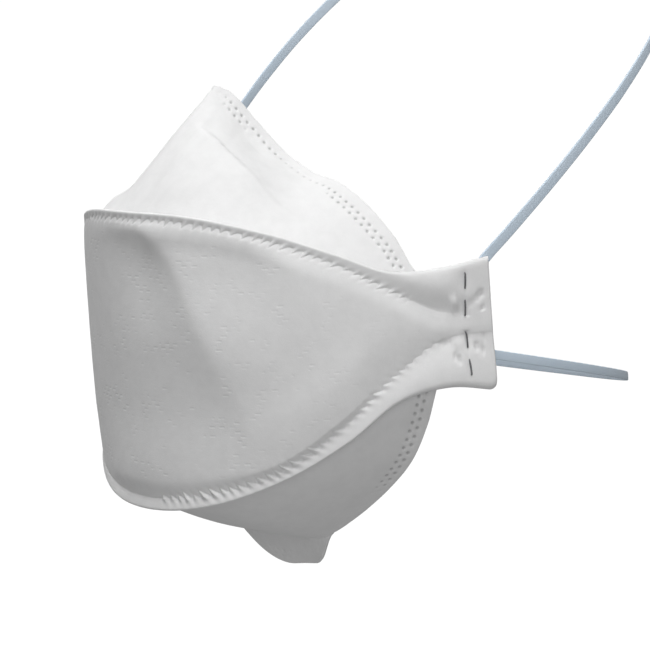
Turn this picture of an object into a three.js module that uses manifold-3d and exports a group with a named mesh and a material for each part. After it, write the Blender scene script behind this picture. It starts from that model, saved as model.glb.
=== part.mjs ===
// Flat-fold filtering respirator, opened out the way it sits on a face.
//
// Lengths are in millimetres. +X is the wearer's left, -Y is straight ahead and +Z is up. The origin is
// the middle of the face seat: halfway between the two tab ends, at mid height of the front panel.
//
// Three cloth panels make the cup. The front panel runs from tab to tab. The nose panel leaves it at the
// upper weld and the chin panel at the lower weld, each just inside the front panel's puffed rim. Two
// elastic straps are stapled inside the tabs and run round the back of the head as whole loops.

import * as THREE from 'three';
import { mergeVertices } from 'three/addons/utils/BufferGeometryUtils.js';
import Module from 'manifold-3d';

// ---- driving dimensions -------------------------------------------------------------------------

const WALL = 1.6;            // thickness of every cloth panel
const GAP = 0.3;             // clearance between neighbouring pieces

const TAB_END = 104;         // front panel: centre to tab end, measured along the cloth
const WRAP = 80;             // degrees the front panel would turn through if it ran on for ever
const TURN_LENGTH = 78;      // cloth length over which most of that turn happens
const FLARE = 4;             // degrees the tabs lean back outwards
const FLARE_START = 80;      // where that lean begins, along the cloth
const PLAN_STEP = 0.5;       // step used to add up the front panel's plan curve

const RIM_FLARE = 0.5;       // how far the front panel's free rims stand proud
const WELD_GROOVE = 0.4;     // depth of the welded groove
const WELD_SLOPE = 3;        // width of the slope beside the groove
const WELD_FADE = [86, 94];  // the groove and the proud rim die out here, towards the tabs
const PANEL_END = 93;        // nose and chin panels end here, inside the tabs

const NOSE_BELLY = 1.5;      // outward swell of the nose panel's middle, half way from weld to edge
const BELLY_FADE = [8, 34];  // the swell gives way to the crease here
const CHIN_BELLY = 2.0;      // the same for the chin panel, where it is widest
const CREASE_RISE = 1.9;     // height of the slanting crease on each side of the nose
const CREASE_AT_CENTRE = 0.74;
const CREASE_DROP = 0.0055;  // how much lower the crease sits for each millimetre from the centre
const CREASE_FADE = [36, 56];
const DENT_DEPTH = 1.8;      // pinch beside the nose bridge
const DENT = { along: 20, up: 0.80, wide: 8, tall: 0.10 };
const CREASE_START = 6;      // the crease and the dent grow from nothing at the centre line to here

const CHIN_DEPTH = 51;       // weld to free edge at the centre of the chin panel

const PULL_TAB = { length: 10.4, endHalfWidth: 5, baseHalfWidth: 26, lean: 22 };

const STRAP = { width: 2.8, thickness: 0.8 };
const STAPLE = { along: 97, crown: 12, wireWidth: 0.7, wireThickness: 0.5, tip: 4.2 };

// Front panel, one row for each station from the centre to the tab: edge and weld heights.
const FRONT = [
  { along: 0, top: 41.0, topWeld: 39.3, bottomWeld: -38.0, bottom: -41.2 },
  { along: 22, top: 40.0, topWeld: 38.3, bottomWeld: -36.2, bottom: -39.0 },
  { along: 44, top: 35.0, topWeld: 33.1, bottomWeld: -29.5, bottom: -32.0 },
  { along: 62, top: 28.2, topWeld: 25.5, bottomWeld: -18.0, bottom: -22.7 },
  { along: 76, top: 22.3, topWeld: 17.6, bottomWeld: -6.3, bottom: -13.2 },
  { along: 90, top: 21.8, topWeld: 9.9, bottomWeld: 2.2, bottom: -10.5 },
  { along: 104, top: 23.5, topWeld: 9.6, bottomWeld: 3.0, bottom: -12.9 },
];

// Free edge of the nose panel, one row for each station: bridge, side of the nose, cheek, tab.
const NOSE_EDGE = [
  { along: 0, x: 0, y: -31.0, z: 71.7 },
  { along: 7, x: 4.5, y: -28.1, z: 68.9 },
  { along: 14, x: 8.9, y: -24.5, z: 61.6 },
  { along: 26, x: 15.7, y: -21.0, z: 53.0 },
  { along: 37, x: 25.5, y: -20.0, z: 47.5 },
  { along: 48, x: 36.0, y: -19.3, z: 44.7 },
  { along: 59, x: 45.4, y: -18.3, z: 39.0 },
  { along: 71, x: 53.6, y: -16.4, z: 30.4 },
  { along: 82, x: 58.5, y: -14.2, z: 21.0 },
  { along: 93, x: 64.0, y: -9.3, z: 12.8 },
];

// Free edge of the chin panel, one row for each station: under the chin, jaw, tab.
const CHIN_EDGE = [
  { along: 0, x: 0, y: -16.0, z: -59.0 },
  { along: 16, x: 16.0, y: -17.0, z: -58.0 },
  { along: 32, x: 30.5, y: -17.0, z: -51.3 },
  { along: 48, x: 44.3, y: -16.7, z: -42.2 },
  { along: 62, x: 53.8, y: -15.6, z: -32.5 },
  { along: 74, x: 59.4, y: -14.2, z: -21.5 },
  { along: 85, x: 62.6, y: -12.5, z: -10.8 },
  { along: 93, x: 64.8, y: -9.3, z: -1.5 },
];

// Straps: where each crosses the tab as pairs of along and z, then a flat loop that rises or falls towards
// the back of the head.
const LOOPS = {
  crown: {
    staple: 14.0,
    tab: [[94.5, 14.2], [97.5, 15.6], [100.5, 18.5], [103, 21.9]],
    rise: 39.5, widest: 77.5, widestAt: 65, reach: 158,
  },
  neck: {
    staple: -2.2,
    tab: [[94.5, -2.0], [97.5, -2.0], [100.5, -2.5], [103, -3.2]],
    rise: -15.7, widest: 73.5, widestAt: 24, reach: 95,
  },
};

const SEAT_INSET = WALL + WELD_GROOVE + GAP;   // outer faces of the nose and chin panels at the welds
const STRAP_INSET = WALL + GAP;                // outer face of a strap behind the tab

const COVER = new THREE.MeshStandardMaterial({ color: '#eeeeec', roughness: 0.9, metalness: 0 });
const ELASTIC = new THREE.MeshStandardMaterial({ color: '#a6b6c6', roughness: 0.75, metalness: 0 });
const STEEL = new THREE.MeshStandardMaterial({ color: '#8b8f94', roughness: 0.35, metalness: 1 });

// ---- small helpers ------------------------------------------------------------------------------

const radians = THREE.MathUtils.degToRad;
const smoothstep = THREE.MathUtils.smoothstep;

/** Value of one column of a station table at a signed distance along the cloth.
 *  A cubic through the rows, mirrored at the centre: heights and depths are even, x is odd. */
function station(rows, column, along, odd = false) {
  const at = Math.min(Math.abs(along), rows.at(-1).along);
  const i = Math.min(rows.findLastIndex((row) => row.along <= at), rows.length - 2);
  const slope = (k) => {
    if (k === 0) return odd ? rows[1][column] / rows[1].along : 0;
    const before = rows[k - 1];
    const after = rows[Math.min(k + 1, rows.length - 1)];
    return (after[column] - before[column]) / (after.along - before.along);
  };
  const [a, b] = [rows[i], rows[i + 1]];
  const run = b.along - a.along;
  const t = (at - a.along) / run;
  const value = a[column] * (1 + 2 * t) * (1 - t) ** 2 + b[column] * t * t * (3 - 2 * t)
    + run * (slope(i) * t * (1 - t) ** 2 - slope(i + 1) * t * t * (1 - t));
  return odd ? Math.sign(along) * value : value;
}

/** Direction of the front panel in plan, in radians from +X towards +Y. */
function heading(along) {
  const distance = Math.abs(along);
  const lean = FLARE * THREE.MathUtils.clamp((distance - FLARE_START) / (TAB_END - FLARE_START), 0, 1) ** 2;
  return Math.sign(along) * radians(WRAP * Math.tanh(distance / TURN_LENGTH) - lean);
}

/** Plan curve of the front panel, added up step by step and shifted so that the tab ends lie on y = 0. */
function planCurve() {
  const points = [new THREE.Vector2(0, 0)];
  for (let along = PLAN_STEP / 2; along < TAB_END; along += PLAN_STEP) {
    const step = new THREE.Vector2(Math.cos(heading(along)), Math.sin(heading(along)));
    points.push(points.at(-1).clone().addScaledVector(step, PLAN_STEP));
  }
  const back = points.at(-1).y;
  return points.map((point) => new THREE.Vector2(point.x, point.y - back));
}

const PLAN = planCurve();

/** Point at a distance along the front panel, a distance in from its outer face, and a height. */
function onFront(along, inset, z) {
  const steps = Math.min(Math.abs(along), TAB_END) / PLAN_STEP;
  const i = Math.min(Math.floor(steps), PLAN.length - 2);
  const plan = PLAN[i].clone().lerp(PLAN[i + 1], steps - i);
  const turn = heading(Math.abs(along));
  const x = plan.x - Math.sin(turn) * inset;
  return new THREE.Vector3(Math.sign(along) * x, plan.y + Math.cos(turn) * inset, z);
}

/** Point on a panel's free edge. */
function onEdge(rows, along) {
  return new THREE.Vector3(
    station(rows, 'x', along, true), station(rows, 'y', along), station(rows, 'z', along));
}

/** Evenly spaced values from a to b. */
const spread = (a, b, count) => Array.from({ length: count }, (_, i) => a + (b - a) * i / (count - 1));

/** Unit normals of a grid of points, from the differences between neighbours. */
function gridNormals(grid) {
  const clampTo = (i, list) => list[THREE.MathUtils.clamp(i, 0, list.length - 1)];
  return grid.map((column, i) => column.map((_, j) => {
    const du = clampTo(i + 1, grid)[j].clone().sub(clampTo(i - 1, grid)[j]);
    const dv = clampTo(j + 1, column).clone().sub(clampTo(j - 1, column));
    return du.cross(dv).normalize();
  }));
}

/** Grid with each point moved outwards by its own relief. */
function raised(grid) {
  const normals = gridNormals(grid);
  return grid.map((column, i) => column.map(
    (point, j) => point.clone().addScaledVector(normals[i][j], point.relief)));
}

/** Closed sheet of even thickness behind a grid of points on its outer face. */
function thickSheet(grid, thickness) {
  const normals = gridNormals(grid);
  const columns = grid.length;
  const rows = grid[0].length;
  const side = (depth) => grid.flatMap((column, i) => column.map(
    (point, j) => point.clone().addScaledVector(normals[i][j], -depth)));
  const points = [...side(0), ...side(thickness)];
  const outer = (i, j) => i * rows + j;
  const inner = (i, j) => columns * rows + i * rows + j;
  const index = [];
  const quad = (a, b, c, d) => index.push(a, b, c, a, c, d);
  for (let i = 0; i < columns - 1; i++) {
    for (let j = 0; j < rows - 1; j++) {
      quad(outer(i, j), outer(i + 1, j), outer(i + 1, j + 1), outer(i, j + 1));
      quad(inner(i, j), inner(i, j + 1), inner(i + 1, j + 1), inner(i + 1, j));
    }
    quad(outer(i, 0), inner(i, 0), inner(i + 1, 0), outer(i + 1, 0));
    quad(outer(i, rows - 1), outer(i + 1, rows - 1), inner(i + 1, rows - 1), inner(i, rows - 1));
  }
  for (let j = 0; j < rows - 1; j++) {
    quad(outer(0, j), outer(0, j + 1), inner(0, j + 1), inner(0, j));
    quad(outer(columns - 1, j), inner(columns - 1, j), inner(columns - 1, j + 1), outer(columns - 1, j + 1));
  }
  const geometry = new THREE.BufferGeometry();
  geometry.setAttribute('position', new THREE.Float32BufferAttribute(points.flatMap((p) => p.toArray()), 3));
  geometry.setIndex(index);
  return geometry;
}

/** Named mesh with smooth shading. */
function piece(name, geometry, material) {
  geometry.computeVertexNormals();
  const mesh = new THREE.Mesh(geometry, material);
  mesh.name = name;
  return mesh;
}

// ---- booleans -----------------------------------------------------------------------------------

const wasm = await Module();
wasm.setup();

function toSolid(geometry) {
  const bare = geometry.clone();
  bare.deleteAttribute('normal');
  bare.deleteAttribute('uv');
  const merged = mergeVertices(bare);
  return new wasm.Manifold(new wasm.Mesh({
    numProp: 3,
    vertProperties: merged.attributes.position.array,
    triVerts: Uint32Array.from(merged.index.array),
  }));
}

function cut(geometry, tools) {
  const solid = tools.reduce((left, tool) => left.subtract(toSolid(tool)), toSolid(geometry));
  const mesh = solid.getMesh();
  const result = new THREE.BufferGeometry();
  result.setAttribute('position', new THREE.BufferAttribute(mesh.vertProperties, 3));
  result.setIndex(new THREE.BufferAttribute(mesh.triVerts, 1));
  return result;
}

// ---- cloth panels -------------------------------------------------------------------------------

/** Heights and outward offsets of the front panel's rows at one station, from bottom rim to top rim. */
function frontRows(along) {
  const { top, topWeld, bottomWeld, bottom } = Object.fromEntries(
    ['top', 'topWeld', 'bottomWeld', 'bottom'].map((column) => [column, station(FRONT, column, along)]));
  const shape = 1 - smoothstep(Math.abs(along), ...WELD_FADE);
  const slope = Math.min(WELD_SLOPE, (topWeld - bottomWeld) / 4);
  const body = spread(bottomWeld + slope, topWeld - slope, 5);
  return [
    { z: bottom, out: RIM_FLARE * shape },
    { z: (bottom + bottomWeld) / 2, out: RIM_FLARE / 2 * shape },
    { z: bottomWeld, out: -WELD_GROOVE * shape },
    ...body.map((z) => ({ z, out: 0 })),
    { z: topWeld, out: -WELD_GROOVE * shape },
    { z: (top + topWeld) / 2, out: RIM_FLARE / 2 * shape },
    { z: top, out: RIM_FLARE * shape },
  ];
}

function frontGrid() {
  return spread(-TAB_END, TAB_END, 53).map(
    (along) => frontRows(along).map(({ z, out }) => onFront(along, -out, z)));
}

/** Height of the nose panel above a straight line from weld to edge: a tent along the crease, less a dent. */
function noseRelief(along, up) {
  const side = Math.abs(along);
  const crease = CREASE_AT_CENTRE - CREASE_DROP * side;
  const tent = up < crease ? up / crease : (1 - up) / (1 - crease);
  const strength = 1 - smoothstep(side, ...CREASE_FADE);
  const dent = Math.exp(-(((side - DENT.along) / DENT.wide) ** 2) - ((up - DENT.up) / DENT.tall) ** 2);
  const offCentre = smoothstep(side, 0, CREASE_START);
  const belly = NOSE_BELLY * Math.sin(Math.PI * up) * (1 - smoothstep(side, ...BELLY_FADE));
  return belly + offCentre * (CREASE_RISE * strength * tent - DENT_DEPTH * dent * (1 - up) / (1 - DENT.up));
}

function noseGrid() {
  const ups = spread(0, 1, 11);
  const flat = spread(-PANEL_END, PANEL_END, 55).map((along) => {
    const weld = onFront(along, SEAT_INSET, station(FRONT, 'topWeld', along));
    const edge = onEdge(NOSE_EDGE, along);
    return ups.map((up) => Object.assign(weld.clone().lerp(edge, up), { relief: noseRelief(along, up) }));
  });
  return raised(flat);
}

/** Length of the pull tab below the chin panel's edge: a flat end with rounded shoulders. */
const pullTab = (along) =>
  PULL_TAB.length * (1 - smoothstep(Math.abs(along), PULL_TAB.endHalfWidth, PULL_TAB.baseHalfWidth));

/** The chin panel runs from the wearer's left to right, so that its outer face looks down and out. */
function chinGrid() {
  const hang = new THREE.Vector3(0, Math.sin(radians(PULL_TAB.lean)), -Math.cos(radians(PULL_TAB.lean)));
  return raised(spread(PANEL_END, -PANEL_END, 55).map((along) => {
    const weld = onFront(along, SEAT_INSET, station(FRONT, 'bottomWeld', along));
    const edge = onEdge(CHIN_EDGE, along);
    const length = weld.distanceTo(edge);
    const belly = CHIN_BELLY * length / CHIN_DEPTH;
    return spread(0, length + pullTab(along), 10).map((run) => {
      const onPanel = Math.min(run / length, 1);
      const point = weld.clone().lerp(edge, onPanel).addScaledVector(hang, Math.max(run - length, 0));
      return Object.assign(point, { relief: belly * Math.sin(Math.PI * onPanel) });
    });
  }));
}

// ---- straps and staples -------------------------------------------------------------------------

/** Middle line of one half of a strap, from inside the wearer's left tab to the back of the head. */
function halfLoop({ tab, rise, widest, widestAt, reach }) {
  const behindTab = tab.map(([along, z]) => onFront(along, STRAP_INSET, z));
  const exit = behindTab.at(-1);
  const back = new THREE.Vector3(0, Math.cos(radians(rise)), Math.sin(radians(rise)));
  const inPlane = (x, run) => exit.clone().setX(x).addScaledVector(back, run);
  const side = spread(0, 1, 7).slice(1).map(
    (t) => inPlane(exit.x + (widest - exit.x) * Math.sin(t * Math.PI / 2), widestAt * t));
  const round = spread(0, Math.PI / 2, 10).slice(1).map(
    (turn) => inPlane(widest * Math.cos(turn), widestAt + (reach - widestAt) * Math.sin(turn)));
  return [...behindTab, ...side, ...round];
}

/** A strap's grid: two points across the width at each step; the width stays as upright as it can. */
function strapGrid(loop) {
  const half = halfLoop(loop);
  const mirrored = half.slice(0, -1).reverse().map((point) => point.clone().setX(-point.x));
  const path = new THREE.CatmullRomCurve3([...half, ...mirrored], false, 'centripetal');
  return spread(0, 1, 97).map((t) => {
    const middle = path.getPointAt(t);
    const tangent = path.getTangentAt(t);
    const across = new THREE.Vector3(0, 0, 1).addScaledVector(tangent, -tangent.z).normalize();
    return [-0.5, 0.5].map((place) => middle.clone().addScaledVector(across, place * STRAP.width));
  });
}

/** Staple outline: crown behind the strap, two legs through the tab, tips bent together outside. */
function stapleGeometry() {
  const { crown, wireWidth, wireThickness, tip } = STAPLE;
  const inside = -(WALL + GAP + STRAP.thickness + GAP);
  const outside = GAP;
  const end = crown / 2;
  const outline = new THREE.Shape([
    [inside - wireThickness, -end], [outside + wireThickness, -end], [outside + wireThickness, tip - end],
    [outside, tip - end], [outside, wireThickness - end], [inside, wireThickness - end],
    [inside, end - wireThickness], [outside, end - wireThickness], [outside, end - tip],
    [outside + wireThickness, end - tip], [outside + wireThickness, end], [inside - wireThickness, end],
  ].map(([out, height]) => new THREE.Vector2(out, height)));
  const geometry = new THREE.ExtrudeGeometry(outline, { depth: wireWidth, bevelEnabled: false });
  return geometry.translate(0, 0, -wireWidth / 2);
}

/** Turns a shape drawn as (outwards, up) so that it stands square to the tab at a signed station. */
function squareToTab(object, along, z) {
  const outwards = heading(along) - Math.PI / 2;
  object.position.copy(onFront(along, 0, z));
  object.rotation.set(Math.PI / 2, 0, outwards, 'ZYX');
  return object;
}

/** Boxes that clear the four staple legs where they pass through one tab. */
function legHoles(along) {
  const across = [WALL * 3, STAPLE.wireThickness + 2 * GAP, STAPLE.wireWidth + 2 * GAP];
  const offset = (STAPLE.crown - STAPLE.wireThickness) / 2;
  return Object.values(LOOPS).flatMap(({ staple }) => [-offset, offset].map((leg) => {
    const hole = squareToTab(new THREE.Object3D(), along, staple + leg);
    hole.updateMatrix();
    return new THREE.BoxGeometry(...across).applyMatrix4(hole.matrix);
  }));
}

// ---- assembly -----------------------------------------------------------------------------------

const respirator = new THREE.Group();
respirator.name = 'disposable_respirator';

const holes = [STAPLE.along, -STAPLE.along].flatMap(legHoles);
respirator.add(piece('front_panel', cut(thickSheet(frontGrid(), WALL), holes), COVER));
respirator.add(piece('nose_panel', thickSheet(noseGrid(), WALL), COVER));
respirator.add(piece('chin_panel', thickSheet(chinGrid(), WALL), COVER));

for (const [name, loop] of Object.entries(LOOPS)) {
  respirator.add(piece(`${name}_strap`, thickSheet(strapGrid(loop), STRAP.thickness), ELASTIC));
  for (const [side, along] of [['left', STAPLE.along], ['right', -STAPLE.along]]) {
    const staple = piece(`${name}_staple_${side}`, stapleGeometry(), STEEL);
    respirator.add(squareToTab(staple, along, loop.staple));
  }
}

export default respirator;
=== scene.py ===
"""Flat-fold filtering respirator: cloth panels, straps and staples as worked-out surfaces.

Shapes are worked out in millimetres and put into meshes in metres. +X is the wearer's left, -Y is
straight ahead and +Z is up. A panel is a function of two numbers: the distance along the cloth from the
centre line, and the place across the panel.
"""
import math

import bpy
import numpy as np
from bpy.props import FloatProperty, FloatVectorProperty, PointerProperty
from mathutils import Matrix, Vector


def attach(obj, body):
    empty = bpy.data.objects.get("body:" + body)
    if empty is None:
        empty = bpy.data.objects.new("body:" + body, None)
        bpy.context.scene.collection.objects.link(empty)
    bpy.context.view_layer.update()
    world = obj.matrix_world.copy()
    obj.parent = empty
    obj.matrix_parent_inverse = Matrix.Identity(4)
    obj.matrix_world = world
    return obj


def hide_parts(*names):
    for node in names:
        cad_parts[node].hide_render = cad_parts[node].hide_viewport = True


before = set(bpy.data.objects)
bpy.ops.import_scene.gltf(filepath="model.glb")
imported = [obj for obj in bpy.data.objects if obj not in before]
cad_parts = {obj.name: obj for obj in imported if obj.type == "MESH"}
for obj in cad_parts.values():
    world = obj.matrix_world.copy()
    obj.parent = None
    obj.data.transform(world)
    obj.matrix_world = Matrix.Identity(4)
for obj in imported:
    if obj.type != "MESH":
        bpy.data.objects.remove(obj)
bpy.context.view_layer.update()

bl_info = {
    "name": "Flat-fold respirator",
    "version": (1, 0, 0),
    "blender": (4, 5, 0),
    "location": "View3D > Sidebar > Respirator",
    "description": "Builds a worn flat-fold filtering respirator from worked-out cloth surfaces",
    "category": "Add Mesh",
}

MM = 0.001

# ---- the respirator's form, in millimetres ------------------------------------------------------

TAB_END = 104.0          # front panel: centre to tab end, along the cloth
WRAP = math.radians(80)  # turn of the front panel if it ran on for ever
TURN_LENGTH = 78.0       # cloth length over which most of that turn happens
FLARE = math.radians(4)  # the tabs lean back outwards by this much
FLARE_START = 80.0
PANEL_END = 93.0         # nose and chin panels end here, inside the tabs
SEAT_INSET = 2.3         # their outer faces start this far inside the front panel's outer face
STRAP_INSET = 1.9        # outer face of a strap behind the tab
CHIN_DEPTH = 51.0        # weld to free edge at the centre of the chin panel
CHIN_SKEW = 0.036        # the chin panel's edge rises this much for each millimetre to the wearer's left

FRONT = np.array([       # one row for each station: heights of the edges and welds
    # along  top  top weld  bottom weld  bottom
    (0, 41.0, 39.3, -38.0, -41.2),
    (22, 40.0, 38.3, -36.2, -39.0),
    (44, 35.0, 33.1, -29.5, -32.0),
    (62, 28.2, 25.5, -18.0, -22.7),
    (76, 22.3, 17.6, -6.3, -13.2),
    (90, 21.8, 9.9, 2.2, -10.5),
    (104, 23.5, 9.6, 3.0, -12.9),
], float)
TOP, TOP_WELD, BOTTOM_WELD, BOTTOM = 1, 2, 3, 4

NOSE_EDGE = np.array([   # free edge of the nose panel: bridge, side of the nose, cheek, tab
    # along  x  y  z
    (0, 0.0, -31.0, 71.7),
    (7, 4.5, -28.1, 68.9),
    (14, 8.9, -24.5, 61.6),
    (26, 15.7, -21.0, 53.0),
    (37, 25.5, -20.0, 47.5),
    (48, 36.0, -19.3, 44.7),
    (59, 45.4, -18.3, 39.0),
    (71, 53.6, -16.4, 30.4),
    (82, 58.5, -14.2, 21.0),
    (93, 64.0, -9.3, 12.8),
], float)

CHIN_EDGE = np.array([   # free edge of the chin panel: under the chin, jaw, tab
    # along  x  y  z
    (0, 0.0, -16.0, -59.0),
    (16, 16.0, -17.0, -58.0),
    (32, 30.5, -17.0, -51.3),
    (48, 44.3, -16.7, -42.2),
    (62, 53.8, -15.6, -32.5),
    (74, 59.4, -14.2, -21.5),
    (85, 62.6, -12.5, -10.8),
    (93, 64.8, -9.3, -1.5),
], float)
X, Y, Z = 1, 2, 3

PULL_TAB = {             # the pairs are for the wearer's right and left
    "length": 10.4, "centre": -2.0, "end": (2.0, 8.0), "base": (31.0, 22.5),
    "skew": 0.012, "lean": math.radians(22),
}

CROWN = {
    "staple": (96.7, 14.0), "lean": math.radians(-3.2),
    "tab": [(94.5, 14.2), (97.5, 15.6), (100.5, 18.5), (103.0, 21.9)],   # along, z
    "rise": math.radians(39.5), "widest": 77.5, "widest_at": 65.0, "reach": 158.0,
    "breadth": 1.10,                                                     # share of the strap width
}
NECK = {
    "staple": (96.4, -1.9), "lean": math.radians(1.2),
    "tab": [(94.5, -2.0), (97.5, -2.0), (100.5, -2.5), (103.0, -3.2)],
    "rise": math.radians(-15.7), "widest": 73.5, "widest_at": 24.0, "reach": 95.0,
    "breadth": 0.92,
}
STAPLE_CROWN = 12.0
STAPLE_TIP = 4.2
WIRE_HALF = 0.25         # half of the staple wire's thickness in the frame
WIRE_HALF_DEPTH = 0.22   # half of the finished wire's thickness: its middle lies this far over the cloth
WALL, GAP, STRAP_DEPTH = 1.6, 0.3, 0.8   # the frame's cloth, clearance and strap, which a staple spans

# ---- surface detail, in millimetres -------------------------------------------------------------

WELD_BAND = 3.2          # fine grid rows reach this far into the panel from each weld
UPPER_WELD = {
    "depth": 0.50, "reach": 2.2, "rim_rise": 0.52, "rim_reach": 1.3, "puff": 0.85, "crest": 0.6,
    "turn_in": 0.75, "tooth": 1.6, "spread": 0.65, "lean": 0.5, "more_lean": 0.25,
    "end": (90.0, 97.0), "valley": 0.65,
}
LOWER_WELD = {
    "depth": 0.34, "reach": 3.0, "rim_rise": 1.80, "rim_reach": 2.8, "puff": 1.45, "crest": 0.9,
    "turn_in": 0.15, "tooth": 2.3, "spread": 0.9, "lean": 0.65, "more_lean": 0.0,
    "end": (95.0, 114.0), "valley": 0.35,
}
ZIGZAG = {"wobble": 0.14, "wobble_length": 2.3, "rim_fade": 0.9, "tip_fade": 0.8}
FOLD = {                 # long slanting fold of the front panel; its crest moves along as z falls
    "height": 3.0, "crest": 15.0, "crest_z": 33.0, "slant": 0.42, "top_bend": 6.0,
    "square": 0.92, "round": 2.0, "near_reach": 10.0, "far_reach": 26.0,
}
HOLLOW = {"centre": 1.7, "centre_at": 0.5, "centre_width": 11.0, "beyond": 1.8}
FAR_FOLD = {"height": 0.5, "at": -34.0, "width": 10.0, "z": -4.0, "tall": 22.0}
SWELL = {"slope": 0.10, "reach": 3.0, "more_reach": 9.0}
ROLL = {"height": 1.1, "more_height": 0.2, "rise": 5.0, "less_rise": 2.0, "reach": 26.0}
NOSE_CREASE = {          # crease beside the nose: place up the panel, and what rises and falls there
    "up": 0.70, "slant": 0.0072, "slant_end": 50.0, "swell": 4.2, "right_share": 0.1, "fall": 1.6,
    "extra": 0.4, "extra_at": 24.0, "extra_width": 12.0, "step": 1.5, "dent": 0.9, "dent_at": 19.0,
}
NOSE_BELLY = 1.4
NOSE_RIDGE = {"height": 0.9, "at": -22.0, "width": 7.0}
CHIN_BELLY = 2.0
EDGE_ROUND = 0.8         # the cut edges thin out over this width
CORNER = 2.6             # rounding of the tab's lower corner
EMBOSSED = [             # bars pressed into the tabs: along, height, length, tilt in degrees, width, depth
    (99.8, 12.5, 6.0, 35, 0.55, 0.42),
    (100.8, 13.5, 2.2, 35, 0.70, 0.50),
    (101.5, 9.6, 1.4, 30, 0.50, 0.45),
    (93.4, 11.8, 2.2, 20, 1.80, -0.90),
    (101.3, 2.1, 1.4, -35, 0.50, 0.50),
    (99.6, -0.9, 3.4, -32, 0.50, 0.90),
    (93.2, -3.0, 2.6, -42, 0.50, 1.00),
    (90.4, 1.4, 3.2, -8, 0.80, 0.60),
    (94.2, 1.0, 2.6, 30, 1.30, -0.50),
]
COLUMNS = 901            # grid lines along a panel's outer side
COARSE = 3               # the hidden inner side takes every third line
NOSE_PORES = np.array([  # edge length from the centre, distance of the outer row of pores from the edge
    (0, 1.9), (9, 2.9), (18, 3.0), (25, 3.5), (37, 3.6), (55, 4.0), (66, 3.9), (81, 3.1),
], float)
CHIN_PORES = np.array([(0, 2.6), (60, 2.6), (74, 2.8), (83, 3.0)], float)
PORE_ROW_GAP = 1.9       # between the two rows of pores
CHIN_PORE_PITCH = 2.7
NOSE_PORE_SIZE, CHIN_PORE_SIZE = 0.5, 0.62
TEETH = 128              # teeth along a weld before their uneven lengths repeat
ROWS = (13, 18, 28, 18, 13)   # grid rows of the front panel: rim, band, middle, band, rim
MIDDLE = 2               # place of the middle in ROWS
STRAP_RINGS, STRAP_SIDES = 620, 48
RIB_HEIGHT = 0.02        # height of a strap's ribs


# ---- small formulas -----------------------------------------------------------------------------

def smoothstep(value, low, high):
    """0 below low, 1 above high, and 3 t^2 - 2 t^3 between them."""
    t = np.clip((value - low) / (high - low), 0.0, 1.0)
    return t * t * (3.0 - 2.0 * t)


def bump(distance, width):
    """Bell curve: e to the minus square of distance over width."""
    return np.exp(-(distance / width) ** 2)


def cubic(values, slopes, i, t, run):
    """Cubic between neighbouring values i and i + 1 that has the given slopes there. t goes from 0 to 1
    over a run's length."""
    return (values[i] * (1 + 2 * t) * (1 - t) ** 2 + values[i + 1] * t * t * (3 - 2 * t)
            + run * (slopes[i] * t * (1 - t) ** 2 - slopes[i + 1] * t * t * (1 - t)))


def station(rows, column, along, odd=False):
    """Cubic through the rows' values, with the slope at each row taken from its two neighbours.
    The table is mirrored at the centre: heights and depths are even, x is odd."""
    places, values = rows[:, 0], rows[:, column]
    slopes = np.empty_like(values)
    slopes[1:-1] = (values[2:] - values[:-2]) / (places[2:] - places[:-2])
    slopes[-1] = (values[-1] - values[-2]) / (places[-1] - places[-2])
    slopes[0] = values[1] / places[1] if odd else 0.0
    at = np.minimum(np.abs(along), places[-1])
    i = np.clip(np.searchsorted(places, at, side="right") - 1, 0, len(places) - 2)
    run = places[i + 1] - places[i]
    value = cubic(values, slopes, i, (at - places[i]) / run, run)
    return np.sign(along) * value if odd else value


def heading(along):
    """Direction of the front panel in plan: WRAP times tanh of distance over TURN_LENGTH, less a
    lean that grows with the square of the distance past FLARE_START."""
    distance = np.abs(along)
    lean = FLARE * np.clip((distance - FLARE_START) / (TAB_END - FLARE_START), 0, 1) ** 2
    return np.sign(along) * (WRAP * np.tanh(distance / TURN_LENGTH) - lean)


def plan_curve(step=0.25):
    """Plan of one half of the front panel: the running sum of unit steps in the heading's direction,
    shifted so that the tab end lies on y = 0."""
    middle = np.arange(step / 2, TAB_END, step)
    steps = np.stack([np.cos(heading(middle)), np.sin(heading(middle))], -1) * step
    points = np.concatenate([[[0.0, 0.0]], np.cumsum(steps, axis=0)])
    points[:, 1] -= points[-1, 1]
    return np.arange(len(points)) * step, points


PLAN_AT, PLAN = plan_curve()


def on_front(along, inset, z):
    """Point at a distance along the front panel, a distance in from its outer face, and a height."""
    at = np.clip(np.abs(along), 0, TAB_END)
    turn = heading(at)
    x = np.interp(at, PLAN_AT, PLAN[:, 0]) - np.sin(turn) * inset
    y = np.interp(at, PLAN_AT, PLAN[:, 1]) + np.cos(turn) * inset
    return np.stack(np.broadcast_arrays(np.sign(along) * x, y, z), -1).astype(float)


def on_edge(rows, along):
    """Point on a panel's free edge."""
    return np.stack([station(rows, X, along, odd=True), station(rows, Y, along),
                     station(rows, Z, along)], -1)


def unit(vectors):
    """The same directions, one long."""
    return vectors / np.linalg.norm(vectors, axis=-1, keepdims=True)


def running_length(points):
    """Distance along a line of points from the first of them."""
    return np.concatenate([[0.0], np.cumsum(np.linalg.norm(np.diff(points, axis=0), axis=1))])


def squared_off(wave, power):
    """A sine or cosine raised to a power with its sign kept: under 1, it squares a round section off."""
    return np.sign(wave) * np.abs(wave) ** power


def grid_normals(grid):
    """Unit normals of a grid: the cross product of its two slopes."""
    return unit(np.cross(np.gradient(grid, axis=0), np.gradient(grid, axis=1)))


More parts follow.
